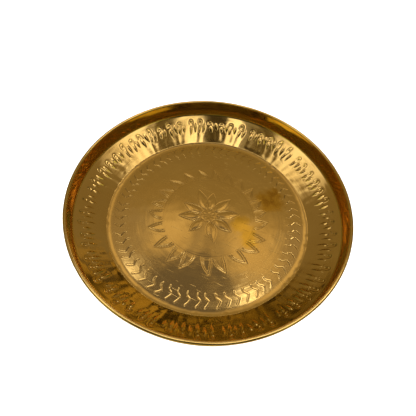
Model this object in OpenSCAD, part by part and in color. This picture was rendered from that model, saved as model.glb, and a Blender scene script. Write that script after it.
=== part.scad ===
// Thali plate: a deep round eating plate raised from one sheet of brass.
// A flat floor turns up through a shallow cove and a crisp crease into a sloping side,
// then through a rounded shoulder into an upright collar.
// The collar's edge is rolled outwards over a ring of wire, which stiffens the rim.
// Z = 0 is the face that the plate stands on, and the Z axis is its centre line.

/* [Rim] */
// Outside diameter over the rolled rim
rim_d = 300; // [220:5:400]
// Diameter of the wire inside the rolled rim
wire_d = 2; // [1.2:0.1:3]
// Free space between the wire and the sheet rolled round it
wire_clearance = 0.05; // [0.02:0.01:0.1]
// Slit between the rolled edge and the outside of the collar
roll_slit = 0.4; // [0.2:0.05:0.8]

/* [Sheet] */
// Thickness of the brass sheet
sheet_t = 0.9; // [0.6:0.1:1.5]

/* [Collar] */
// Height from the shoulder's corner to the middle of the rolled rim
collar_h = 18; // [10:0.5:30]
// Radius of the shoulder, inside the plate
shoulder_r = 3; // [1:0.5:6]

/* [Sloping side] */
// How far the side runs outwards, from the crease to the shoulder's corner
slope_run = 31; // [20:0.5:45]
// How far the side climbs on the way
slope_h = 21; // [12:0.5:30]
// Radius of the crease at the foot of the side
crease_r = 1; // [0.5:0.1:2]

/* [Floor] */
// Width of the shallow cove round the edge of the floor
cove_w = 7; // [4:0.5:12]
// Angle at which the cove meets the crease
cove_angle = 11; // [5:1:16]

/* [Facets] */
// Facets round the plate in the preview
round_facets = 180; // [60:12:360]
// Angle that one facet of a bend turns through
bend_step = 9; // [4:1:12]

/* [Hidden] */

// Outside radius of the roll: half the wire, its free space and the sheet
roll_r = wire_d / 2 + wire_clearance + sheet_t;
// The roll turns until its edge stands the slit's width off the collar
roll_angle = 180 + acos((sheet_t + roll_slit - roll_r) / roll_r);

// Inside radius of the collar, which runs straight up into the roll
collar_r = rim_d / 2 - 2 * roll_r;
// Distance of the crease's corner from the centre line
crease_at = collar_r - slope_run;

// Angle of the sloping side, and its length from corner to corner
slope_angle = atan2(slope_h, slope_run);
slope_len = norm([slope_run, slope_h]);

// Lengths that the two bends take up on each side of their corners
crease_tangent = crease_r * tan((slope_angle - cove_angle) / 2);
shoulder_tangent = shoulder_r * tan((90 - slope_angle) / 2);

// The cove is an arc that leaves the floor level and reaches the crease at its angle
cove_r = (cove_w - crease_tangent * cos(cove_angle)) / sin(cove_angle);
cove_rise = cove_r * (1 - cos(cove_angle)) + crease_tangent * sin(cove_angle);

// Height of the middle of the roll
rim_z = sheet_t + cove_rise + slope_h + collar_h;

// The sheet's upper face is a path of stretches, each [length, turn]: it turns evenly through
// the angle over its length, to the left where that is positive, and 0 makes it straight.
// A pose is [point, heading].
function bend(radius, turn) = [radius * abs(turn) * PI / 180, turn];
function steps(stretch) = max(1, ceil(abs(stretch[1]) / bend_step));
function chord(stretch, share) =
    stretch[1] == 0
        ? stretch[0] * share
        : 2 * stretch[0] * sin(stretch[1] * share / 2) / (stretch[1] * PI / 180);
function pose_along(stretch, pose, share) =
    let (aim = pose[1] + stretch[1] * share / 2)
    [pose[0] + chord(stretch, share) * [cos(aim), sin(aim)], pose[1] + stretch[1] * share];
function poses_on(stretches, pose, i = 0) =
    i == len(stretches) ? [pose] : concat(
        [for (k = [0 : steps(stretches[i]) - 1]) pose_along(stretches[i], pose, k / steps(stretches[i]))],
        poses_on(stretches, pose_along(stretches[i], pose, 1), i + 1)
    );

// Half of the plate's section: floor, cove, crease, side, shoulder, collar and roll
sheet_path = poses_on([
    [crease_at - cove_w, 0],
    bend(cove_r, cove_angle),
    bend(crease_r, slope_angle - cove_angle),
    [slope_len - crease_tangent - shoulder_tangent, 0],
    bend(shoulder_r, 90 - slope_angle),
    [collar_h - shoulder_tangent, 0],
    bend(roll_r, -roll_angle)
], [[0, sheet_t], 0]);

// The section's outline: out along the upper face and back along the lower one
module section() {
    upper = [for (pose = sheet_path) pose[0]];
    lower = [for (pose = sheet_path) pose[0] + sheet_t * [sin(pose[1]), -cos(pose[1])]];
    polygon(concat(upper, [for (i = [len(lower) - 1 : -1 : 0]) lower[i]]));
}

// The whole plate, formed from one round blank
module dish() {
    color("goldenrod")
    rotate_extrude($fn = round_facets) section();
}

// Ring of wire that the collar's edge is rolled over
module rim_wire() {
    color("darkgoldenrod")
    translate([0, 0, rim_z])
    rotate_extrude($fn = round_facets)
    translate([collar_r + roll_r, 0]) circle(d = wire_d, $fn = ceil(360 / bend_step));
}

dish();
rim_wire();
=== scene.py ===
# %% [markdown]
# # A chased brass thali plate
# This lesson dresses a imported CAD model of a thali, the deep round plate that a meal or an
# offering is served on. The real one is beaten up from a single disc of sheet brass: a flat
# floor, a crisp crease, a sloping side, a shoulder, an upright collar and a rim rolled over
# a wire. A craftsperson then chases a lotus and rings of petals into the floor and beats a
# border of tongues round the side. The CAD model has the plain sheet. Here the sheet is made
# again with the ornament as real relief, and then it gets its finish, its light and its camera.

import math

import bmesh
import bpy
from mathutils import Matrix, Vector


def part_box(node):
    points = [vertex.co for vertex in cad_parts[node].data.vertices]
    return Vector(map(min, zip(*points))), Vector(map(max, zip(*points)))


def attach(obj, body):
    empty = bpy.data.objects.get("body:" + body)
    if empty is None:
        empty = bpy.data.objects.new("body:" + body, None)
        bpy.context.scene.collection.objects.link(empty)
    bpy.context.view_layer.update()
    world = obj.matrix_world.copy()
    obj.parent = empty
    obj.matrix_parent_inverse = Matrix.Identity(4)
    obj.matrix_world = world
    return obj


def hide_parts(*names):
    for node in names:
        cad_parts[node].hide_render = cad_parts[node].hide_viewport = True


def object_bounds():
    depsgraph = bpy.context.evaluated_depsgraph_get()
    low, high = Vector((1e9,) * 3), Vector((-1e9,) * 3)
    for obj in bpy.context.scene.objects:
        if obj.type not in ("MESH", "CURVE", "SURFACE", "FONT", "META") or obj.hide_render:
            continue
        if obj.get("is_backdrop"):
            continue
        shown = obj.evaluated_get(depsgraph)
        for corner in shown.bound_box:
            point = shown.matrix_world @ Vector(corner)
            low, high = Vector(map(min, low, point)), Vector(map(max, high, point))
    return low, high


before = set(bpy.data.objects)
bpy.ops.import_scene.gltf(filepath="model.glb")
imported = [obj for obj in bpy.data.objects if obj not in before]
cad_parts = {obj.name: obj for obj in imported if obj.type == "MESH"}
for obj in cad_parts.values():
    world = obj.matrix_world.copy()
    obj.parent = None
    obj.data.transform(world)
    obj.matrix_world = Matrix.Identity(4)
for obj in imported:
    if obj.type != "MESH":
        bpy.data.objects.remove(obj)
cad_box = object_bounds()
print("nodes:", sorted(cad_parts))

# %% [markdown]
# Sizes come first, in metres. The plate's outside and the wire inside its rim are read from
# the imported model, so that the dressed sheet lies exactly where the CAD sheet lies. The rest
# are the sizes that a maker would mark on the sheet before bending it.

# %% Sizes of the plate
MM = 0.001
dish_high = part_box("dish")[1]
wire_low, wire_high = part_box("rim_wire")
rim_radius = dish_high.x
rim_z = (wire_low.z + wire_high.z) / 2
roll_radius = dish_high.z - rim_z
collar_radius = rim_radius - 2 * roll_radius
sheet_thick = 0.9 * MM
roll_slit = 0.4 * MM
shoulder_bend = 3 * MM
crease_bend = 1 * MM
cove_width = 7 * MM
cove_turn = math.radians(11)
slope_run = 31 * MM
slope_rise = 21 * MM
slope_turn = math.atan2(slope_rise, slope_run)
crease_radius = collar_radius - slope_run
for edge, radius in (("rim", rim_radius), ("collar", collar_radius), ("crease", crease_radius)):
    print(f"radius of the {edge}: {radius / MM:.1f} mm")

# %% [markdown]
# The sheet's upper face is one line that a tape could follow from the middle of the floor,
# over the crease and the shoulder, up the collar and round the rim. Each stretch of it is
# straight or bent, so it is written as a length, a turn and a number of rows of mesh. Rows
# lie close together where ornament comes, and far apart where the sheet is plain.

# %% Following the sheet with a tape
def straight(length, rows):
    return (length, 0.0, rows)


def bend(radius, turn, rows):
    return (radius * abs(turn), turn, rows)


def out_to(start, marks):
    """Flat stretches from a start out to each mark: its radius in millimetres and its rows."""
    stretches = []
    for radius, rows in marks:
        stretches.append(straight((radius - start) * MM, rows))
        start = radius
    return stretches


def lay_out(start, stretches, thin=1):
    """Poses (radius, height, aim) along the upper face, with every thin-th row."""
    poses = [start]
    for length, turn, rows in stretches:
        radius, height, aim = poses[-1]
        count = max(1, round(rows / thin))
        for row in range(1, count + 1):
            share = row / count
            chord = length * share
            if turn:
                chord = 2 * length / turn * math.sin(turn * share / 2)
            middle = aim + turn * share / 2
            place = (radius + chord * math.cos(middle), height + chord * math.sin(middle))
            poses.append((*place, aim + turn * share))
    return poses


# %% The bends
crease_tangent = crease_bend * math.tan((slope_turn - cove_turn) / 2)
shoulder_tangent = shoulder_bend * math.tan((math.pi / 2 - slope_turn) / 2)
cove_bend = (cove_width - crease_tangent * math.cos(cove_turn)) / math.sin(cove_turn)
slope_length = math.hypot(slope_run, slope_rise) - crease_tangent - shoulder_tangent
roll_turn = math.pi + math.acos((sheet_thick + roll_slit - roll_radius) / roll_radius)
print(f"slope {slope_length / MM:.1f} mm long, roll turned {math.degrees(roll_turn):.0f} degrees")

# %% The stretches of the floor
lotus_edge = 50
petal_edge = 78
side_edge = (crease_radius - cove_width) / MM
lotus_rows = out_to(0, [(8, 8), (39, 84), (lotus_edge, 10)])
petal_rows = out_to(lotus_edge, [(53, 4), (76, 62), (petal_edge, 2)])
chevron_rows = out_to(petal_edge, [(91, 6), (side_edge, 46)])
lotus_start = (0.0, sheet_thick, 0.0)
petal_start = (lotus_edge * MM, sheet_thick, 0.0)
chevron_start = (petal_edge * MM, sheet_thick, 0.0)
side_start = (side_edge * MM, sheet_thick, 0.0)
print(f"the floor is flat out to {side_edge:.1f} mm")

# %% The stretches of the side and the collar
border_from = 0.33 * slope_length
border_to = 0.93 * slope_length
foot_rows = [
    bend(cove_bend, cove_turn, 6),
    bend(crease_bend, slope_turn - cove_turn, 5),
    straight(border_from, 22),
]
border_start = lay_out(side_start, foot_rows)[-1]
border_rows = [straight(border_to - border_from, 52)]
collar_start = lay_out(border_start, border_rows)[-1]
shoulder_rows = [
    straight(slope_length - border_to, 3),
    bend(shoulder_bend, math.pi / 2 - slope_turn, 7),
]
shoulder_z = lay_out(collar_start, shoulder_rows)[-1][1]
collar_rows = shoulder_rows + [straight(rim_z - shoulder_z, 24), bend(roll_radius, -roll_turn, 30)]
print(f"the collar stands up from z {shoulder_z / MM:.2f} mm")

# %% [markdown]
# Geometry Nodes will spin the sheet and set out its ornament. A node tree is wordy to build
# in a script, so one small helper writes it like sums: each call adds a node, feeds it and
# hands back what comes out. Every size gets a named input, and the value is set on the
# modifier by the input's identifier before the object is first evaluated.

# %% A helper that writes node trees
def live(sockets, key):
    """The socket with that name or place among those that the node's settings leave in use."""
    shown = [socket for socket in sockets if socket.enabled]
    if isinstance(key, int):
        return shown[key]
    return next(socket for socket in shown if socket.name == key)


class Nodes:
    """Writes one node tree, a node at a time."""

    def __init__(self, tree):
        self.tree = tree

    def add(self, kind, feeds=None, out=0, **settings):
        node = self.tree.nodes.new(kind)
        for name, value in settings.items():
            setattr(node, name, value)
        for key, value in (feeds or {}).items():
            socket = live(node.inputs, key)
            if isinstance(value, bpy.types.NodeSocket):
                self.tree.links.new(value, socket)
            else:
                socket.default_value = value
        return live(node.outputs, out)

    def math(self, operation, *values):
        return self.add("ShaderNodeMath", dict(enumerate(values)), operation=operation)

    def vector(self, operation, *values, out=0):
        return self.add("ShaderNodeVectorMath", dict(enumerate(values)), out, operation=operation)

    def separate(self, vector):
        return self.add("ShaderNodeSeparateXYZ", {"Vector": vector}).node.outputs

    def combine(self, **axes):
        return self.add("ShaderNodeCombineXYZ", axes)

    def chain(self, operation, first, *others):
        """The same sum carried on along all the values."""
        for other in others:
            first = self.math(operation, first, other)
        return first

    def total(self, *values):
        return self.chain("ADD", *values)

    def product(self, *values):
        return self.chain("MULTIPLY", *values)

    def most(self, *values):
        return self.chain("MAXIMUM", *values)

    def less(self, whole, part):
        return self.math("SUBTRACT", whole, part)

    def layers(self, base, *pairs):
        """The base with a share of each pattern added to it."""
        for pattern, share in pairs:
            base = self.math("MULTIPLY_ADD", pattern, share, base)
        return base

    def ease(self, value, low, high, start=0.0, end=1.0):
        """Goes smoothly from start at low to end at high, and stays level outside."""
        feeds = {"Value": value, "From Min": low, "From Max": high, "To Min": start, "To Max": end}
        return self.add("ShaderNodeMapRange", feeds, interpolation_type="SMOOTHSTEP")


# %% Rules: node trees with named sizes
KINDS = {int: "Int", float: "Float", bpy.types.Object: "Object", bpy.types.Material: "Material"}


class Rule(Nodes):
    """A Geometry Nodes tree whose sizes are inputs of the modifier."""

    def __init__(self, name, sizes):
        super().__init__(bpy.data.node_groups.new(name, "GeometryNodeTree"))
        face = self.tree.interface
        face.new_socket("Geometry", in_out="INPUT", socket_type="NodeSocketGeometry")
        face.new_socket("Geometry", in_out="OUTPUT", socket_type="NodeSocketGeometry")
        self.sizes = {}
        for size, value in sizes.items():
            kind = "NodeSocket" + KINDS[type(value)]
            socket = face.new_socket(size, in_out="INPUT", socket_type=kind)
            self.sizes[size] = (socket.identifier, value)
        self.source = self.tree.nodes.new("NodeGroupInput")

    def add(self, kind, feeds=None, out=0, **settings):
        """Adds a node, and a feed may also be the name of one of the rule's sizes."""
        feeds = dict(feeds or {})
        for key, value in feeds.items():
            if isinstance(value, str) and value in self.sizes:
                feeds[key] = live(self.source.outputs, value)
        return super().add(kind, feeds, out, **settings)

    def named(self, name, kind="FLOAT"):
        return self.add("GeometryNodeInputNamedAttribute", {"Name": name}, data_type=kind)

    def store(self, geometry, name, value, kind="FLOAT"):
        feeds = {"Geometry": geometry, "Name": name, "Value": value}
        return self.add("GeometryNodeStoreNamedAttribute", feeds, data_type=kind, domain="POINT")

    def end(self, geometry):
        """Realises what is left, sets the finish and closes the tree."""
        realised = self.add("GeometryNodeRealizeInstances", {"Geometry": geometry})
        finished = self.add("GeometryNodeSetMaterial", {"Geometry": realised, "Material": "Finish"})
        self.tree.links.new(finished, self.tree.nodes.new("NodeGroupOutput").inputs[0])


# %% [markdown]
# A spinner shapes sheet by turning it on a lathe, and this rule does the same: each point of
# the section becomes a ring of points round the plate's middle line. The section runs out
# along the upper face and home along the underside, so the result is a closed shell with the
# sheet's real thickness. Each point remembers which way is up from the sheet, and whether it
# lies on the upper face, because the ornament will be struck along that direction.

# %% The section as a line of points
def in_scene(name, data):
    made = bpy.data.objects.new(name, data)
    bpy.context.scene.collection.objects.link(made)
    return made


def remember(mesh, name, values):
    """Gives each point a number, or a direction of three numbers, that a rule can read."""
    wide = isinstance(values[0], tuple)
    layer = mesh.attributes.new(name, "FLOAT_VECTOR" if wide else "FLOAT", "POINT")
    numbers = [number for value in values for number in value] if wide else values
    layer.data.foreach_set("vector" if wide else "value", numbers)


def section_object(name, start, stretches, thin):
    """A maker object that holds the section; the underside has only every thin-th row."""
    rows = [(radius, height, aim, 1.0) for radius, height, aim in lay_out(start, stretches)]
    for radius, height, aim in reversed(lay_out(start, stretches, thin)):
        below = (radius + sheet_thick * math.sin(aim), height - sheet_thick * math.cos(aim))
        rows.append((*below, aim, 0.0))
    if start[0]:
        rows.append(rows[0])
    mesh = bpy.data.meshes.new(name)
    points = [(radius, 0, height) for radius, height, aim, top in rows]
    mesh.from_pydata(points, [(row, row + 1) for row in range(len(rows) - 1)], [])
    remember(mesh, "up", [(-math.sin(aim), 0, math.cos(aim)) for radius, height, aim, top in rows])
    remember(mesh, "top", [top for radius, height, aim, top in rows])
    return in_scene(name, mesh)


# %% The lathe
def spin(rule):
    """Turns the section into a closed sheet, and keeps its directions as attributes."""
    section = live(rule.source.outputs, "Geometry")
    count = rule.add("GeometryNodeAttributeDomainSize", {"Geometry": section}, "Point Count")
    columns = rule.add("FunctionNodeIntegerMath", {0: "Around", 1: 1}, operation="ADD")
    grid = rule.add("GeometryNodeMeshGrid", {"Vertices X": count, "Vertices Y": columns})
    place = {0: rule.add("GeometryNodeInputIndex"), 1: columns}
    row = rule.add("FunctionNodeIntegerMath", place, operation="DIVIDE_FLOOR")
    column = rule.add("FunctionNodeIntegerMath", place, operation="MODULO")
    angle = rule.math("DIVIDE", rule.product(column, math.tau), "Around")

    def held(field, kind):
        """What the section has in this row."""
        feeds = {"Geometry": section, "Value": field, "Index": row}
        return rule.add("GeometryNodeSampleIndex", feeds, data_type=kind, domain="POINT")

    def turned(field):
        """A direction or a place of this row, turned to this column's angle."""
        feeds = {"Vector": held(field, "FLOAT_VECTOR"), "Angle": angle}
        return rule.add("ShaderNodeVectorRotate", feeds, rotation_type="Z_AXIS")

    sheet = rule.store(grid, "top", held(rule.named("top"), "FLOAT"))
    sheet = rule.store(sheet, "up", turned(rule.named("up", "FLOAT_VECTOR")), "FLOAT_VECTOR")
    feeds = {"Geometry": sheet, "Position": turned(rule.add("GeometryNodeInputPosition"))}
    sheet = rule.add("GeometryNodeSetPosition", feeds)
    return rule.add("GeometryNodeMergeByDistance", {"Geometry": sheet, "Distance": "Weld"})


# %% From rule to plain mesh
sharp_from = math.radians(50)


def as_piece(rule, name, start, stretches, around, thin=6):
    """Runs the rule on the section and keeps the result as a plain, closed mesh."""
    maker = section_object(name + "_section", start, stretches, thin)
    modifier = maker.modifiers.new("rule", "NODES")
    modifier.node_group = rule.tree
    for size, (identifier, value) in rule.sizes.items():
        modifier[identifier] = around if size == "Around" else value
    depsgraph = bpy.context.evaluated_depsgraph_get()
    mesh = bpy.data.meshes.new_from_object(maker.evaluated_get(depsgraph))
    bpy.data.objects.remove(maker)
    shell = bmesh.new()
    shell.from_mesh(mesh)
    bmesh.ops.recalc_face_normals(shell, faces=shell.faces)
    volume = shell.calc_volume(signed=True)
    open_edges = sum(not edge.is_manifold for edge in shell.edges)
    shell.to_mesh(mesh)
    shell.free()
    mesh.shade_smooth()
    mesh.set_sharp_from_angle(angle=sharp_from)
    mesh.name = name
    triangles = sum(len(face.vertices) - 2 for face in mesh.polygons)
    print(f"{name}: {triangles} triangles, {volume / MM**3:.0f} mm3, {open_edges} open edges")
    return in_scene(name, mesh)


# %% [markdown]
# Ornament on a thali is struck, not cast. A chasing tool pushes a groove into the metal and
# a small lip rises beside it, and a rounded punch from behind swells a petal into a dome.
# Both can be read from distances: every point of the sheet asks how far it is from the lines
# or the outlines of the marks, and moves up or down by that. The marks themselves are light
# wire drawings, so one drawing can be stamped round a ring as often as it is needed.

# %% Drawing a mark
helpers = []


def helper(name, mesh):
    """An object that only the rules read. It is taken out when they have run."""
    helpers.append(in_scene(name, mesh))
    return helpers[-1]


def drawing(name, lines, filled=False):
    """A flat drawing in millimetres: x goes clockwise round the plate and y goes outwards."""
    points, edges, faces = [], [], []
    for line in lines:
        first = len(points)
        points += [(x * MM, y * MM, 0) for x, y in line]
        if filled:
            faces.append(range(first, len(points)))
        else:
            edges += [(point, point + 1) for point in range(first, len(points) - 1)]
    mesh = bpy.data.meshes.new(name)
    mesh.from_pydata(points, edges, faces)
    print(f"{name}: {len(lines)} lines, {len(points)} points")
    return helper(name, mesh)


def shares(steps):
    """Even steps from nought to one."""
    return [step / steps for step in range(steps + 1)]


def bow(start, pull, end, steps=7):
    """A curve from start to end that leans towards pull."""
    start, pull, end = Vector(start), Vector(pull), Vector(end)
    points = []
    for share in shares(steps):
        near, far = start.lerp(pull, share), pull.lerp(end, share)
        points.append(tuple(near.lerp(far, share)))
    return points


# %% Setting the marks out
def any_between(rule, low, high, seed):
    """A number of its own for each place, and the same ones in every run."""
    feeds = {"Min": low, "Max": high, "Seed": seed}
    return rule.add("FunctionNodeRandomValue", feeds, data_type="FLOAT")


def ring_of_places(rule, count, radius, height, stray, seed):
    """Even places round a ring that each fall up to stray degrees early or late."""
    ring = rule.add("GeometryNodeMeshCircle", {"Vertices": count, "Radius": radius})
    slip = any_between(rule, -math.radians(stray), math.radians(stray), seed)
    feeds = {"Vector": rule.add("GeometryNodeInputPosition"), "Angle": slip}
    place = rule.add("ShaderNodeVectorRotate", feeds, rotation_type="Z_AXIS")
    feeds = {"Geometry": ring, "Position": place, "Offset": rule.combine(Z=height)}
    return rule.add("GeometryNodeSetPosition", feeds)


def stamped(rule, places, mark, tilt=0.0, swing=0.0, growth=0.0, seed=0, stretch=None, flip=1.0):
    """The mark stamped at every place, facing outwards, and no two quite alike."""
    axes = rule.separate(rule.add("GeometryNodeInputPosition"))
    facing = rule.less(rule.math("ARCTAN2", axes["Y"], axes["X"]), math.pi / 2)
    size = any_between(rule, 1 - growth, 1 + growth, seed)
    wide = rule.product(size, flip)
    tall = size if stretch is None else stretch
    feeds = {
        "Points": places,
        "Instance": rule.add("GeometryNodeObjectInfo", {"Object": mark}, "Geometry"),
        "Rotation": rule.combine(X=tilt, Z=facing),
        "Scale": rule.combine(X=wide, Y=tall, Z=1.0),
    }
    marks = rule.add("GeometryNodeInstanceOnPoints", feeds)
    lean = rule.combine(Z=any_between(rule, -swing, swing, seed))
    marks = rule.add("GeometryNodeRotateInstances", {"Instances": marks, "Rotation": lean})
    return rule.add("GeometryNodeRealizeInstances", {"Geometry": marks})


# %% [markdown]
# A chased line has the section of its tool: a groove with sloping sides, and a lip of metal
# pushed up beside it. The widths below are shares of the line's own width, so a fine line and
# a broad one have the same section. A dome rises softly inside an outline, and the hammer's
# hollows are slow noise. All the rises are added up and move the sheet once.

# %% Striking the marks
groove_floor = 0.1
groove_edge = 0.65
lip_foot = 0.45
lip_top = 0.8
lip_end = 1.6
lip_height = 0.45
sure_inside = 0.4


def upper_face(rule):
    """Where each point lies on the sheet's upper face, also for the points of its underside."""
    depth = rule.product(rule.less(1.0, rule.named("top")), sheet_thick)
    step = rule.vector("SCALE", rule.named("up", "FLOAT_VECTOR"), depth)
    return rule.vector("ADD", rule.add("GeometryNodeInputPosition"), step)


def distance(rule, marks, at, element="EDGES"):
    feeds = {"Geometry": marks, "Sample Position": at}
    return rule.add("GeometryNodeProximity", feeds, "Distance", target_element=element)


def chased(rule, gap, width="Line width", depth="Line depth"):
    """A groove with a low lip on both sides. Returns its rise and its recess."""
    def part(share):
        return rule.product(width, share)

    groove = rule.ease(gap, part(groove_floor), part(groove_edge), 1.0, 0.0)
    lip = rule.ease(gap, part(lip_foot), part(lip_top))
    lip = rule.less(lip, rule.ease(gap, part(lip_top), part(lip_end)))
    rise = rule.less(rule.product(lip, lip_height), groove)
    return rule.product(rise, depth), groove


def swollen(rule, shapes, at, play):
    """A dome inside each outline: it rises from the outline over the soft distance."""
    inside = rule.ease(distance(rule, shapes, at, "FACES"), play * sure_inside, play, 1.0, 0.0)
    dome = rule.ease(distance(rule, shapes, at), 0.0, "Soft edge")
    return rule.product(inside, dome, "Swell")


def uneven(rule, at, scale, height):
    """The slow hollows and swells that a hammer leaves, up and down by half the height."""
    hammered = rule.add("ShaderNodeTexNoise", {"Vector": at, "Scale": scale, "Detail": 1.0})
    return rule.product(rule.less(hammered, 0.5), height)


def struck(rule, sheet, rises, recesses, through=0.0):
    """Moves the sheet along its own up by all the rises; the underside follows by a share."""
    top = rule.named("top")
    sheet = rule.store(sheet, "recess", rule.product(rule.most(*recesses), top))
    reach = rule.product(rule.total(*rises), rule.layers(through, (top, 1 - through)))
    offset = rule.vector("SCALE", rule.named("up", "FLOAT_VECTOR"), reach)
    return rule.add("GeometryNodeSetPosition", {"Geometry": sheet, "Offset": offset})


# %% [markdown]
# Sheet brass that is washed and rubbed for years is bright, but never even. Its colour
# drifts a little, a brown bloom stays in the struck grooves, the polishing cloth leaves fine
# lines that run round the plate, and the planishing hammer leaves shallow flats. All of it
# is made by nodes on Object coordinates, and the grooves come from the recess attribute
# that the rule has stored, so the bloom sits exactly where the tool has struck.

# %% A metal and its coordinates
ragged_scale = 70.0
ragged_width = 22.0 * MM


class Metal(Nodes):
    """The node tree of a metal finish, with the places that its patterns are made from."""

    def __init__(self, name):
        self.material = bpy.data.materials.new(name)
        self.material.use_nodes = True
        super().__init__(self.material.node_tree)
        self.shader = self.tree.nodes["Principled BSDF"]
        self.shader.inputs["Metallic"].default_value = 1.0
        self.spot = self.add("ShaderNodeTexCoord", out="Object")
        axes = self.separate(self.spot)
        self.across = self.combine(X=axes["X"], Y=axes["Y"])
        self.radius = self.vector("LENGTH", self.across, out="Value")
        angle = self.math("ARCTAN2", axes["Y"], axes["X"])
        self.rounds = self.combine(X=self.radius, Y=axes["Z"], Z=angle)
        self.ragged = self.product(self.less(self.noise(ragged_scale, 2.0), 0.5), ragged_width)

    def noise(self, scale, detail, vector=None):
        feeds = {"Vector": vector or self.spot, "Scale": scale, "Detail": detail}
        return self.add("ShaderNodeTexNoise", feeds)

    def stretched(self, vector, scale, detail):
        """Noise that is drawn out: its grain is fine where the scale is large."""
        return self.noise(1.0, detail, self.vector("MULTIPLY", vector, scale))

    def patch(self, x, y, size, soft):
        """A stain with a ragged edge: one at its middle, nothing from its size outwards."""
        away = self.vector("DISTANCE", self.across, (x * MM, y * MM, 0), out="Value")
        return self.ease(self.total(away, self.ragged), size * MM * (1 - soft), size * MM, 1.0, 0.0)

    def mix(self, share, under, over):
        feeds = {"Factor": share, "A": under, "B": over}
        return self.add("ShaderNodeMix", feeds, data_type="RGBA")

    def feed(self, name, value):
        self.tree.links.new(value, self.shader.inputs[name])


# %% The colour, the stains and the bloom
drift_scale = 22.0
speck_scale = 420.0
mottle_scale = 130.0


def tarnish(metal, bright, deep):
    """Drifts from bright to deep, then lays specks, stains and bloom over that."""
    metal.drift = metal.ease(metal.noise(drift_scale, 3.0), 0.35, 0.68)
    metal.bloom = metal.add("ShaderNodeAttribute", out="Fac", attribute_name="recess")
    metal.stain = metal.patch(73, 31, 20, 0.45)
    speck = metal.ease(metal.noise(speck_scale, 2.0), 0.45, 0.75)
    amber = metal.most(metal.patch(39, -8, 16, 0.6), metal.patch(47, -24, 15, 0.6))
    mottle = metal.ease(metal.noise(mottle_scale, 3.0), 0.40, 0.62)
    core = metal.product(metal.patch(74, 33, 15, 0.5), mottle)
    colour = (*bright, 1)
    for pattern, share, tint in (
        (metal.drift, 0.75, deep),
        (speck, 0.06, (0.55, 0.26, 0.06)),
        (amber, 0.80, (0.92, 0.54, 0.050)),
        (metal.stain, 0.85, (0.66, 0.35, 0.026)),
        (core, 0.50, (0.38, 0.16, 0.010)),
        (metal.bloom, 0.16, (0.26, 0.115, 0.018)),
    ):
        colour = metal.mix(metal.product(pattern, share), colour, (*tint, 1))
    metal.feed("Base Color", colour)


# %% The polish, the dents and the scratches
cloth_lines = (1500, 1500, 3)
lathe_lines = (280, 280, 2)
scratch_lines = (1400, 55, 200)
scratch_turn = 1.9
scratched_to = (0.108, 0.116)
dent_scale = 95.0
swell_scale = 45.0


def polish(metal, sheen):
    """Sets how rough the metal is and how its surface waves, from the same lines."""
    lines = metal.stretched(metal.rounds, cloth_lines, 2.0)
    dull_lines = metal.ease(lines, 0.4, 0.8)
    rough = metal.layers(
        sheen, (metal.drift, 0.05), (dull_lines, 0.04), (metal.bloom, -0.03), (metal.stain, 0.08)
    )
    metal.feed("Roughness", rough)
    feeds = {"Vector": metal.spot, "Scale": dent_scale, "Smoothness": 1.0}
    dents = metal.add("ShaderNodeTexVoronoi", feeds, feature="SMOOTH_F1")
    feeds = {"Vector": metal.spot, "Angle": scratch_turn}
    slanted = metal.add("ShaderNodeVectorRotate", feeds, rotation_type="Z_AXIS")
    scratches = metal.ease(metal.stretched(slanted, scratch_lines, 0.0), 0.74, 0.79)
    scratches = metal.product(scratches, metal.ease(metal.radius, *scratched_to, 1.0, 0.0))
    turns = metal.stretched(metal.rounds, lathe_lines, 1.0)
    swells = metal.noise(swell_scale, 1.0)
    height = metal.layers(
        0.0, (lines, 0.002), (dents, 0.05), (swells, 0.12), (turns, 0.03), (scratches, -0.012)
    )
    feeds = {"Strength": 1.0, "Distance": MM, "Height": height}
    metal.feed("Normal", metal.add("ShaderNodeBump", feeds))


# %% The two brasses
def brass(name, bright, deep, sheen):
    """Brass that drifts from bright to deep, with its stains, polish, dents and bloom."""
    metal = Metal(name)
    tarnish(metal, bright, deep)
    polish(metal, sheen)
    print(f"{name}: {len(metal.tree.nodes)} nodes")
    return metal.material


sheet_brass = brass("sheet_brass", (0.86, 0.565, 0.175), (0.80, 0.505, 0.140), 0.07)
wire_brass = brass("wire_brass", (0.84, 0.50, 0.14), (0.74, 0.42, 0.09), 0.16)

# %% [markdown]
# A lotus sits at the middle of the floor: nine almond petals round a small disc of seed dots.
# On the real plate each petal is outlined with a curved chasing punch, and its middle is
# swollen a little from behind. The petals could be modelled one by one, but they are all the
# same stroke at nine lengths. So there is one drawing of an almond, one metre long, and a
# small helper mesh of nine places, each of which carries the reach that stretches it.

# %% The lotus drawings
def leaf(width, foot, head, blunt, plump, middle=0.0, steps=12):
    """A closed leaf with a pointed foot; the larger blunt is, the nearer its bulge to the head."""
    side = []
    for share in shares(steps):
        half = width / 2 * math.sin(math.pi * share**blunt) ** plump
        side.append((half, foot + (head - foot) * share))
    return [(middle + x, y) for x, y in side] + [(middle - x, y) for x, y in side[-2:0:-1]]


lotus_outline = leaf(10.8, 0.0, 1000.0, blunt=0.8, plump=0.9)
lotus_lines = drawing("lotus_lines", [lotus_outline + lotus_outline[:1]])
lotus_face = drawing("lotus_face", [lotus_outline], filled=True)
seed_mark = drawing("seed", [[(0.0, -0.3), (0.0, 0.3)]])

# %% The lotus places
def own_places(name, radius, angles, **values):
    """Places round a ring at the angles given, each with its own value of every kind."""
    turns = [math.radians(angle) for angle in angles]
    mesh = bpy.data.meshes.new(name)
    points = [(radius * math.cos(turn), radius * math.sin(turn), sheet_thick) for turn in turns]
    mesh.from_pydata(points, [], [])
    for kind, numbers in values.items():
        remember(mesh, kind, numbers)
    print(f"{name}: {len(points)} places")
    return helper(name, mesh)


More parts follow.
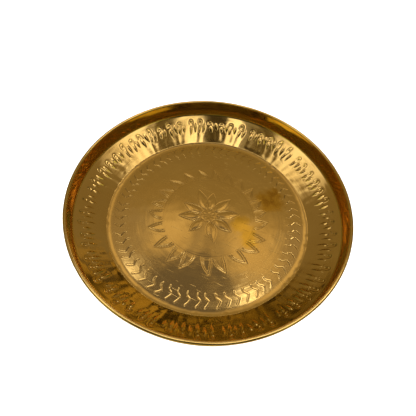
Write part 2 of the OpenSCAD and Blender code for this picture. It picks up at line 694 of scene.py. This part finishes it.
lotus_foot = 8.5 * MM
lotus_tips = {10: 35.5, 47: 35, 85: 32, 113: 38, 155: 33, 187: 34, 228: 30, 284: 33, 327: 33}
lotus_reach = [tip * MM - lotus_foot for tip in lotus_tips.values()]
lotus_places = own_places("lotus_places", lotus_foot, lotus_tips, reach=lotus_reach)

# %% [markdown]
# Petals, ring lines and hollows come on more than one piece of the floor, so each is a step of
# its own. The sizes that every piece shares stand in one place. The number of columns round
# the plate is given later, for each piece, so that a busy piece gets more of them.

# %% Steps that the floor's pieces share
sheet_sizes = {"Around": 1, "Weld": 0.001 * MM, "Finish": sheet_brass}
floor_sizes = {**sheet_sizes, "Hollows": 0.16 * MM}
ring_sizes = {"Ring width": 0.9 * MM, "Ring depth": 0.03 * MM}
hollow_scale = 38.0
petal_play = 0.1 * MM


def petals(rule, at, **ways):
    """Petals at the rule's places: the outlines' rise and recess, and the middles' swell."""
    spots = rule.add("GeometryNodeObjectInfo", {"Object": "Places"}, "Geometry")
    rise, recess = chased(rule, distance(rule, stamped(rule, spots, "Lines", **ways), at))
    swell = swollen(rule, stamped(rule, spots, "Outline", **ways), at, petal_play)
    return rise, recess, swell


def from_middle(rule, at):
    return rule.vector("LENGTH", rule.vector("MULTIPLY", at, (1, 1, 0)), out="Value")


def ring_line(rule, at, ring, width="Ring width", depth="Ring depth"):
    """A circle chased round the floor. Returns its rise and its recess."""
    gap = rule.math("ABSOLUTE", rule.less(from_middle(rule, at), ring))
    return chased(rule, gap, width, depth)


def hollows(rule, at):
    return uneven(rule, at, hollow_scale, "Hollows")


# %% The lotus floor
rule = Rule("lotus_floor", {
    **floor_sizes, **ring_sizes, "Places": lotus_places, "Lines": lotus_lines, "Outline": lotus_face,
    "Line width": 0.95 * MM, "Line depth": 0.055 * MM, "Swell": 0.20 * MM, "Soft edge": 4.4 * MM,
    "Disc": 8.5 * MM, "Disc depth": 0.04 * MM, "Ring": 48.4 * MM, "Seeds": 8, "Seed": seed_mark,
    "Seed ring": 5.2 * MM, "Seed width": 1.6 * MM, "Seed height": 0.10 * MM,
})
sheet = spin(rule)
at = upper_face(rule)
petal_rise, petal_recess, swell = petals(rule, at, stretch=rule.named("reach"))
disc_rise, disc_recess = ring_line(rule, at, "Disc", "Line width", "Disc depth")
ring_rise, ring_recess = ring_line(rule, at, "Ring")
spots = ring_of_places(rule, "Seeds", "Seed ring", sheet_thick, stray=9, seed=19)
seed_gap = distance(rule, stamped(rule, spots, "Seed", growth=0.3, seed=23), at)
seeds = rule.ease(seed_gap, 0.0, "Seed width", "Seed height", 0.0)
rises = [petal_rise, swell, disc_rise, ring_rise, seeds, hollows(rule, at)]
rule.end(struck(rule, sheet, rises, [petal_recess, disc_recess, ring_recess]))
lotus_floor = as_piece(rule, "lotus_floor", lotus_start, lotus_rows, around=800)

# %% [markdown]
# A ring of flame petals runs round the lotus, each drawn with an outer and an inner line,
# and a ring of chevrons runs along the floor's edge, each struck with two blows of a bent
# punch. The maker turned the plate while working, so on one stretch the petals lean the other
# way, and they are longest where the work came nearest: two values at each place say so. The
# chevrons are spread evenly, so a circle of points sets them out, and a small random swing
# keeps any two from being alike.

# %% The flame petal drawing
def flame(width, length, foot, lean, taper=2.2, steps=9):
    """An open petal: up one side to a leaning tip and down the other."""
    right, left = [], []
    for share in shares(steps):
        half = width / 2 * (1 - share**taper)
        shift = lean * share * share
        right.append((half + shift, foot + length * share))
        left.append((shift - half, foot + length * share))
    return right + left[-2::-1]


petal_outline = flame(12.0, 19.5, 0.0, -4.2)
petal_lines = drawing("petal_lines", [petal_outline, flame(7.6, 14.8, 0.8, -2.8)])
petal_face = drawing("petal_face", [petal_outline], filled=True)

# %% The chevron drawing
chevron_apex = (-3.2, 0.6)
chevron_knee = (-0.9, -2.2)
lower_arm = bow((0.6, -7.4), (1.2, -3.8), chevron_knee)
lower_arm += bow(chevron_knee, (-2.9, -0.8), chevron_apex)[1:]
upper_arm = bow(chevron_apex, (-2.2, 3.1), (0.8, 6.6))
chevron_mark = drawing("chevron", [lower_arm, upper_arm])

# %% The petal places
petal_foot = 53.5 * MM
petal_angles = [
    -5.4, -24, -38, -53.7, -74.4, -86.7, -106, -119.6, -137, -157, -174,
    170, 153, 136, 119, 102, 87, 70, 54, 38, 22, 9,
]
flipped_from = 180
flipped_to = 268
shortest = 0.74
petal_side = [-1.0 if flipped_from < angle % 360 < flipped_to else 1.0 for angle in petal_angles]
nearness = [max(0.0, -math.sin(math.radians(angle))) for angle in petal_angles]
petal_reach = [shortest + (1 - shortest) * near for near in nearness]
petal_places = own_places("petal_places", petal_foot, petal_angles, side=petal_side, reach=petal_reach)

# %% The ring of petals
rule = Rule("petal_floor", {
    **floor_sizes, **ring_sizes, "Places": petal_places, "Lines": petal_lines, "Outline": petal_face,
    "Line width": 0.85 * MM, "Line depth": 0.062 * MM, "Swell": 0.05 * MM, "Soft edge": 3.6 * MM,
    "Ring": 52.5 * MM,
})
sheet = spin(rule)
at = upper_face(rule)
ways = {"stretch": rule.named("reach"), "flip": rule.named("side")}
petal_rise, petal_recess, swell = petals(rule, at, swing=math.radians(5), growth=0.08, seed=3, **ways)
ring_rise, ring_recess = ring_line(rule, at, "Ring")
rises = [petal_rise, swell, ring_rise, hollows(rule, at)]
rule.end(struck(rule, sheet, rises, [petal_recess, ring_recess]))
petal_floor = as_piece(rule, "petal_floor", petal_start, petal_rows, around=1200)

# %% The ring of chevrons
rule = Rule("chevron_floor", {
    **floor_sizes, "Chevrons": 63, "Chevron ring": 100.0 * MM, "Chevron": chevron_mark,
    "Line width": 0.95 * MM, "Line depth": 0.08 * MM, "Fade": 9 * MM,
})
sheet = spin(rule)
at = upper_face(rule)
spots = ring_of_places(rule, "Chevrons", "Chevron ring", sheet_thick, stray=0.7, seed=5)
chevrons = stamped(rule, spots, "Chevron", swing=math.radians(6), growth=0.08, seed=7)
rise, recess = chased(rule, distance(rule, chevrons, at))
fade_from = rule.less(side_start[0], "Fade")
inward = rule.ease(from_middle(rule, at), fade_from, side_start[0], 1.0, 0.0)
rule.end(struck(rule, sheet, [rise, rule.product(hollows(rule, at), inward)], [recess]))
chevron_floor = as_piece(rule, "chevron_floor", chevron_start, chevron_rows, around=1536)

# %% [markdown]
# The sloping side is beaten rather than chased. Tongues are pushed up by a rounded stake from
# behind, an arch is chased over each pair of them, and a dot is punched under the arch. The
# side gives a little under all those blows, so it bellies in between the crease and the
# shoulder and keeps the hollows of the hammer. One rule makes it all and is run twice: with
# few rows for the plain foot of the side, and with many for the border above it. Both runs
# draw the same random numbers, so the two pieces meet.

# %% The border drawings
arch_top = (0.0, 8.4)
arch = bow((-2.5, 3.6), (-3.1, 8.2), arch_top) + bow(arch_top, (3.6, 8.2), (2.8, 1.2))[1:]
arch_mark = drawing("arch", [arch])
left_tongue = leaf(4.6, -10.5, 2.6, blunt=1.5, plump=0.7, middle=0.2, steps=10)
right_tongue = leaf(4.4, -8.0, 5.6, blunt=1.5, plump=0.7, middle=6.7, steps=10)
tongue_mark = drawing("tongues", [left_tongue, right_tongue], filled=True)
dot_mark = drawing("dot", [[(-0.6, 4.6), (0.1, 5.6)]])
fold_mark = drawing("fold", [[(2.4, -8.5), (2.0, -17.0)]])

# %% The side's own form
slope_foot_z = sheet_thick + cove_bend * (1 - math.cos(cove_turn))
slope_foot_z += crease_tangent * (math.sin(cove_turn) + math.sin(slope_turn))
slope_top_z = slope_foot_z + slope_rise
hammered_scale = 30.0
crease_fade = 3 * MM
shoulder_fade = (4 * MM, 1 * MM)
form_sizes = {**sheet_sizes, "Belly": 0.35 * MM, "Hammered": 0.7 * MM}
print(f"the slope's foot is at z {slope_foot_z / MM:.2f} mm")


def side_form(rule, at):
    """The side's belly and the hollows of the hammer, both gone at the crease and the shoulder."""
    height = rule.separate(at)["Z"]
    feeds = {"Value": height, "From Min": slope_foot_z, "From Max": slope_top_z}
    share = rule.add("ShaderNodeMapRange", feeds)
    belly = rule.product(rule.math("SINE", rule.product(share, math.pi)), "Belly", -1.0)
    above_crease = rule.ease(height, slope_foot_z, slope_foot_z + crease_fade)
    fade_from = slope_top_z - shoulder_fade[0]
    below_shoulder = rule.ease(height, fade_from, slope_top_z - shoulder_fade[1], 1.0, 0.0)
    hammered = uneven(rule, at, hammered_scale, "Hammered")
    return [belly, rule.product(hammered, above_crease, below_shoulder)]


# %% The beaten side
motif_along = 0.58 * slope_length
motif_radius = crease_radius + motif_along * math.cos(slope_turn)
motif_z = slope_foot_z + motif_along * math.sin(slope_turn)
rule = Rule("beaten_side", {
    **form_sizes, "Motifs": 61, "Motif ring": motif_radius,
    "Arch": arch_mark, "Tongues": tongue_mark, "Dot": dot_mark,
    "Line width": 1.3 * MM, "Line depth": 0.12 * MM, "Swell": 0.62 * MM, "Soft edge": 2.6 * MM,
    "Dot floor": 0.2 * MM, "Dot edge": 1.1 * MM, "Dot depth": 0.3 * MM,
    "Fold": fold_mark, "Fold width": 5.0 * MM, "Fold height": 0.10 * MM,
})
sheet = spin(rule)
at = upper_face(rule)
spots = ring_of_places(rule, "Motifs", "Motif ring", motif_z, stray=0.9, seed=11)
length = any_between(rule, 0.85, 1.3, seed=17)
ways = {"tilt": slope_turn, "swing": math.radians(10), "growth": 0.14, "seed": 13, "stretch": length}

# %% Striking the side
tongue_play = 0.7 * MM
arch_rise, arch_recess = chased(rule, distance(rule, stamped(rule, spots, "Arch", **ways), at))
dot_gap = distance(rule, stamped(rule, spots, "Dot", **ways), at)
dot_recess = rule.ease(dot_gap, "Dot floor", "Dot edge", 1.0, 0.0)
dot_rise = rule.product(dot_recess, "Dot depth", -1.0)
swell = swollen(rule, stamped(rule, spots, "Tongues", **ways), at, tongue_play)
fold_gap = distance(rule, stamped(rule, spots, "Fold", **ways), at)
folds = rule.ease(fold_gap, 0.0, "Fold width", "Fold height", 0.0)
rises = [arch_rise, dot_rise, swell, folds, *side_form(rule, at)]
rule.end(struck(rule, sheet, rises, [arch_recess, dot_recess], through=0.8))
side_foot = as_piece(rule, "side_foot", side_start, foot_rows, around=1200, thin=2)
beaten_border = as_piece(rule, "beaten_border", border_start, border_rows, around=1440, thin=4)

# %% [markdown]
# The collar is drawn up with a mallet, and its edge is rolled over a brass wire, which makes
# the rim stiff and kind to the hands. There is no ornament on it, only the slow waves that the
# mallet leaves. They fade out at the shoulder and below the roll, so that the pieces meet
# evenly and the roll lies snugly round the wire.

# %% The collar and the rim
wave_scale = 26.0
wave_stretch = (1.0, 1.0, 5.0)
wave_start = 2 * MM
wave_end = (6 * MM, 2.5 * MM)
rule = Rule("collar_and_rim", {**form_sizes, "Waves": 0.22 * MM})
sheet = spin(rule)
at = upper_face(rule)
height = rule.separate(at)["Z"]
rising = rule.ease(height, shoulder_z - wave_start, shoulder_z + wave_start)
below_roll = rule.ease(height, rim_z - wave_end[0], rim_z - wave_end[1], 1.0, 0.0)
waves = uneven(rule, rule.vector("MULTIPLY", at, wave_stretch), wave_scale, "Waves")
rises = [rule.product(waves, rising, below_roll), *side_form(rule, at)]
rule.end(struck(rule, sheet, rises, [0.0], through=0.8))
collar_and_rim = as_piece(rule, "collar_and_rim", collar_start, collar_rows, around=900, thin=2)
dish_pieces = [lotus_floor, petal_floor, chevron_floor, side_foot, beaten_border, collar_and_rim]

# %% [markdown]
# The drawings and the helper places have done their work. They are taken out of the scene,
# because whatever is left in it counts as a piece of the object.

# %% Putting the drawings away
for made in helpers:
    bpy.data.objects.remove(made)
print(f"{len(helpers)} drawings and sets of places put away")

# %% [markdown]
# The plate stands on a plain pale floor that curves up into a wall all round, as the paper
# sweep of a photographer's studio does, so every angle of view ends on pale paper. It is a
# turned profile, written here point by point. It isn't part of the object, so it is marked
# as stage. Brass would mirror such paper as flat white, so the sweep is hidden from mirror
# rays, and the plate mirrors the painted studio of the next cells.

# %% The sweep's profile
paper_radius = 4.0
paper_bend = 2.0
paper_wall = 3.0
paper_drop = 0.1 * MM
profile = [(paper_radius, 0.0)]
for share in shares(16)[1:]:
    bent = math.pi / 2 * share
    profile.append((paper_radius + paper_bend * math.sin(bent), paper_bend * (1 - math.cos(bent))))
profile.append((paper_radius + paper_bend, paper_bend + paper_wall))
print(f"the paper is {2 * profile[-1][0]:.0f} m across, in {len(profile)} rings")

# %% The sweep
paper_around = 96
ring = [math.tau * column / paper_around for column in range(paper_around)]
points = [
    (radius * math.cos(angle), radius * math.sin(angle), height - paper_drop)
    for radius, height in profile for angle in ring
]
faces = [range(paper_around)]
for row in range(len(profile) - 1):
    inner = row * paper_around
    outer = inner + paper_around
    for column in range(paper_around):
        after = (column + 1) % paper_around
        faces.append((inner + column, outer + column, outer + after, inner + after))
floor_mesh = bpy.data.meshes.new("stage_floor")
floor_mesh.from_pydata(points, [], faces)
stage_floor = in_scene("stage_floor", floor_mesh)
stage_floor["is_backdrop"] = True
stage_floor.visible_glossy = False
paper = bpy.data.materials.new("white_paper")
paper.use_nodes = True
paper_inputs = paper.node_tree.nodes["Principled BSDF"].inputs
paper_inputs["Base Color"].default_value = (0.9, 0.9, 0.9, 1)
paper_inputs["Roughness"].default_value = 0.9
paper_inputs["Emission Color"].default_value = (1, 1, 1, 1)
paper_inputs["Emission Strength"].default_value = 0.95
floor_mesh.materials.append(paper)
print(f"stage_floor: {len(faces)} faces")

# %% [markdown]
# Polished brass has hardly a colour of its own: what is seen in it is the room. So the light
# is painted on the sky as a studio would hang it, soft panels overhead with gaps between
# them, and a dim warm room around. A direction of the sky is written as a place on a level
# ceiling one unit above the plate, across and along, and each panel is a patch of it whose
# edges fade. The gaps are what gives the beaten border its dark strokes.

# %% The painted sky
world = bpy.data.worlds.new("studio")
bpy.context.scene.world = world
world.use_nodes = True
sky = Nodes(world.node_tree)
toward = sky.add("ShaderNodeTexCoord", out="Generated")
axes = sky.separate(toward)
overhead = sky.ease(axes["Z"], 0.0, 0.15)
above = sky.most(axes["Z"], 0.05)
ceiling_x = sky.math("DIVIDE", axes["X"], above)
ceiling_y = sky.math("DIVIDE", axes["Y"], above)


def band(value, low, high, fade):
    """One between low and high, fading to nothing outside."""
    return sky.product(sky.ease(value, low - fade, low), sky.ease(value, high, high + fade, 1.0, 0.0))


def panel(left, right, near, far, fade, glow):
    """A soft patch of the ceiling."""
    across = band(ceiling_x, left, right, fade)
    along = band(ceiling_y, near, far, fade)
    return sky.product(across, along, overhead, glow)


def squared(value):
    return sky.product(value, value)


# %% [markdown]
# The far side of the plate slopes towards the viewer, so it mirrors an arch of the ceiling
# that runs overhead from left to right. Lamps hang along this arch with dark gaps between
# them, and that is where the bright and dark stretches of the border come from. Smaller
# panels give the floor its highlights and the struck lines their glints.

# %% The row of lamps over the near edge
arch_half_width = 1.1
arch_half_length = 1.17
arch_middle = 0.75
lamp_inner_fade = 0.12
lamp_outer_fade = 0.16
arch_x = squared(sky.math("DIVIDE", ceiling_x, arch_half_width))
arch_y = squared(sky.math("DIVIDE", sky.less(ceiling_y, arch_middle), arch_half_length))
arch = sky.total(arch_x, arch_y)
nearer = sky.ease(ceiling_y, 0.45, 0.15)


def lamp(left, right, fade, glow, inner=0.80, outer=1.02):
    """A length of the row: bright along the arch, fading quickly outside it."""
    along = band(ceiling_x, left, right, fade)
    across = sky.product(
        sky.ease(arch, inner - lamp_inner_fade, inner),
        sky.ease(arch, outer, outer + lamp_outer_fade, 1.0, 0.0),
    )
    return sky.product(along, across, nearer, overhead, glow)


lamps = [
    lamp(-0.94, -0.53, 0.05, 0.80),
    lamp(-0.76, -0.62, 0.07, 0.35, 0.90, 1.00),
    lamp(-0.30, -0.19, 0.05, 0.20),
    lamp(-0.18, -0.10, 0.05, 1.60),
    lamp(0.15, 0.34, 0.05, 0.65),
    lamp(0.20, 0.28, 0.07, 1.05, 0.86, 1.02),
    lamp(0.60, 0.78, 0.05, 0.75),
    lamp(0.64, 0.72, 0.07, 0.50, 0.88, 1.02),
    lamp(0.78, 0.93, 0.05, 0.60),
]
print(f"{len(lamps)} lengths in the row of lamps")

# %% The panels and the window
panels = [
    panel(-0.45, 0.45, -0.06, 0.21, 0.04, 1.7),
    panel(-0.62, -0.42, -0.02, 0.26, 0.05, 0.9),
    panel(0.40, 0.66, -0.02, 0.30, 0.05, 0.9),
    panel(-0.50, 0.50, 1.24, 1.50, 0.08, 1.4),
    panel(0.14, 0.175, 0.33, 0.355, 0.035, 2.6),
    panel(0.42, 0.54, 0.26, 0.46, 0.05, 3.4),
    panel(-0.25, -0.21, 0.37, 0.40, 0.04, 1.1),
]
window_panes = [
    panel(-0.45, 0.45, -1.10, -0.85, 0.08, 0.10),
    panel(-1.25, -0.80, -0.90, -0.28, 0.10, 0.95),
    panel(0.80, 1.25, -0.90, -0.28, 0.10, 0.70),
    sky.ease(axes["Y"], -0.70, -0.92, 0.0, 0.03),
]
print(f"{len(panels)} panels and {len(window_panes)} panes of the window")

# %% [markdown]
# Between the lamps the brass mirrors the room, which is what gives it depth: warm plaster
# high up, wood and furniture low down, and dusk at the sides and behind the viewer. Noise
# breaks up the low part, because a real room is never one even colour. The pale table sends
# its own warm light up to the outside of the plate.

# %% The plaster overhead
high = sky.ease(axes["Z"], 0.68, 0.86, 0.23, 0.31)
front = sky.ease(axes["Y"], -0.55, 0.25, 0.08, 1.0)
lighter = sky.total(
    sky.product(high, front),
    panel(-0.15, -0.08, 0.50, 0.58, 0.08, 0.36),
    panel(0.10, 0.20, 0.46, 0.58, 0.08, 0.36),
)
darker = sky.total(
    panel(-0.15, 0.06, 0.29, 0.45, 0.07, 0.19),
    panel(-0.62, -0.42, 0.32, 0.50, 0.05, 0.22),
    panel(-0.76, -0.44, 0.60, 0.82, 0.09, 0.22),
    panel(0.44, 0.76, 0.60, 0.82, 0.09, 0.22),
)
darkest = 0.03
plaster_glow = sky.most(sky.less(lighter, darker), darkest)
wall = sky.ease(axes["Z"], 0.25, 0.48)

# %% The low room and the dusk
layered = sky.vector("MULTIPLY", toward, (0.7, 0.7, 2.4))
clutter = sky.add("ShaderNodeTexNoise", {"Vector": layered, "Scale": 11.0, "Detail": 2.0})
sideways = sky.ease(sky.math("ABSOLUTE", axes["X"]), 0.50, 0.68)
behind = sky.ease(axes["Y"], -0.20, 0.10, 1.0, 0.0)
around = sky.most(sideways, behind)
wood_glow = sky.product(
    sky.ease(axes["X"], -0.35, 0.20, 0.08, 0.20),
    sky.ease(clutter, 0.40, 0.60, 0.12, 2.2),
    sky.less(1.0, around),
)
dusk_glow = sky.product(around, 0.10)
cool_glow = panel(-0.45, 0.45, 0.24, 0.58, 0.08, 0.07)
table_glow = sky.ease(axes["Z"], -0.22, -0.04, 0.45, 0.0)

# %% All the light together
def lit(red, green, blue, glow):
    return sky.add("ShaderNodeBackground", {"Color": (red, green, blue, 1), "Strength": glow})


def joined(first, *others):
    for other in others:
        first = sky.add("ShaderNodeAddShader", {0: first, 1: other})
    return first


low_room = joined(lit(1.0, 0.64, 0.12, wood_glow), lit(1.0, 1.1, 0.4, dusk_glow))
plaster = lit(1.0, 0.78, 0.42, plaster_glow)
walls = sky.add("ShaderNodeMixShader", {0: wall, 1: low_room, 2: plaster})
whole = joined(
    walls,
    lit(1.0, 0.98, 1.0, sky.total(*lamps, *panels)),
    lit(0.95, 1.0, 0.40, sky.total(*window_panes)),
    lit(0.4, 0.5, 1.0, cool_glow),
    lit(1.0, 0.88, 0.56, table_glow),
)
world.node_tree.links.new(whole, world.node_tree.nodes["World Output"].inputs["Surface"])
print(f"the sky has {len(world.node_tree.nodes)} nodes")

# %% [markdown]
# The camera looks down at the plate as someone standing at the table does, about 55 degrees
# below the horizon and with the head a little tilted. It is set by three directions, across,
# up and back, which are the columns of a rotation matrix. The view transform is Standard, so
# that the brass keeps the colours that its nodes were given.

# %% The direction of view
view_pitch = math.radians(54.578)
view_roll = math.radians(6.387)
aim_across = -0.00816
aim_up = -0.03557
back = Vector((0, -math.cos(view_pitch), math.sin(view_pitch)))
across = Vector((1, 0, 0))
upward = Vector((0, math.sin(view_pitch), math.cos(view_pitch)))
rolled_across = math.cos(view_roll) * across + math.sin(view_roll) * upward
rolled_up = math.cos(view_roll) * upward - math.sin(view_roll) * across
ahead = rolled_across * math.sin(aim_across) - back * math.cos(aim_across)
camera_across = rolled_across * math.cos(aim_across) + back * math.sin(aim_across)
camera_up = rolled_up * math.cos(aim_up) - ahead * math.sin(aim_up)
camera_back = -(rolled_up * math.sin(aim_up) + ahead * math.cos(aim_up))
print(f"seen from {math.degrees(view_pitch):.0f} degrees up, tilted {math.degrees(view_roll):.0f}")

# %% The camera
view_distance = 2.4 * rim_radius
lens_share = 340.3 / 416
camera_data = bpy.data.cameras.new("photo_camera")
camera_data.sensor_width = 36
camera_data.lens = camera_data.sensor_width * lens_share
camera_data.clip_start = 0.01
camera = in_scene("photo_camera", camera_data)
turn = Matrix((camera_across, camera_up, camera_back)).transposed()
place = back * view_distance + Vector((0, 0, rim_z))
camera.matrix_world = Matrix.Translation(place) @ turn.to_4x4()
bpy.context.scene.camera = camera
bpy.context.scene.view_settings.view_transform = "Standard"
print(f"a lens of {camera_data.lens:.1f} mm at {place.length / MM:.0f} mm from the plate's foot")

# %% [markdown]
# Each piece of the sheet now rides on the plate's one body, keeps the sheet brass that its rule gave
# it and stands for the plain dish. The wire inside the rim has the
# right shape already, so it stays as it is and only gets its brass. Last, the box of the
# dressed plate is written beside the box of the imported model, to see that they agree.

# %% Handing over
for piece in dish_pieces:
    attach(piece, "root")
    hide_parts("dish")
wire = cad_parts["rim_wire"]
wire.data.materials.clear()
wire.data.materials.append(wire_brass)

seen_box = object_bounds()
for corner, planned, seen in zip(("lowest", "highest"), cad_box, seen_box):
    print(f"{corner} corner, off in mm:", [round((b - a) / MM, 2) for a, b in zip(planned, seen)])
